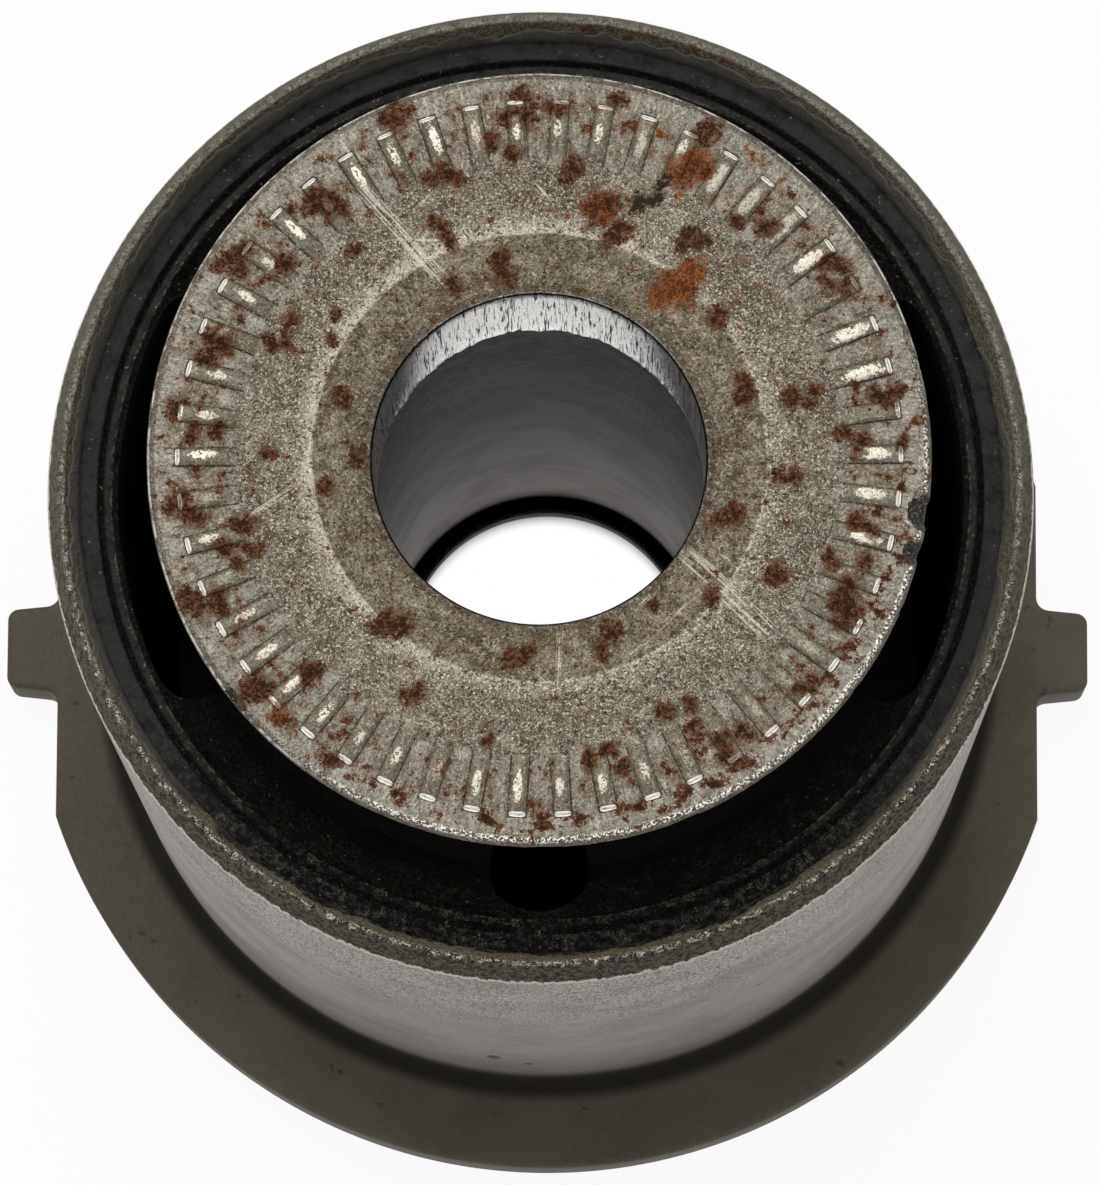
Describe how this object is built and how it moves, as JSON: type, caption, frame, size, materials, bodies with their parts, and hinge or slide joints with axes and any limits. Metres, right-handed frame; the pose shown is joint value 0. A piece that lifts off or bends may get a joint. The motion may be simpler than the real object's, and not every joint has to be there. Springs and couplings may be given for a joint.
{
  "type": "rubber metal bush",
  "caption": "Suspension bush: toothed-head steel sleeve bonded by rubber into a flanged steel can with two flats and locating tabs.",
  "frame": {"origin": "centre of the flange's underside, on the bush's axis", "axes": "+Z along the bush's axis towards the toothed head, X through the two locating tabs"},
  "size_m": [0.0628, 0.0602, 0.0696],
  "materials": {
    "sleeve_steel": "bare forged steel with rust spots",
    "black_rubber": "moulded matte rubber",
    "can_steel": "dark phosphated steel with a ground wall"
  },
  "bodies": {
    "root": {"inner_sleeve": "sleeve_steel", "rubber_body": "black_rubber", "outer_can": "can_steel"}
  },
  "joints": []
}
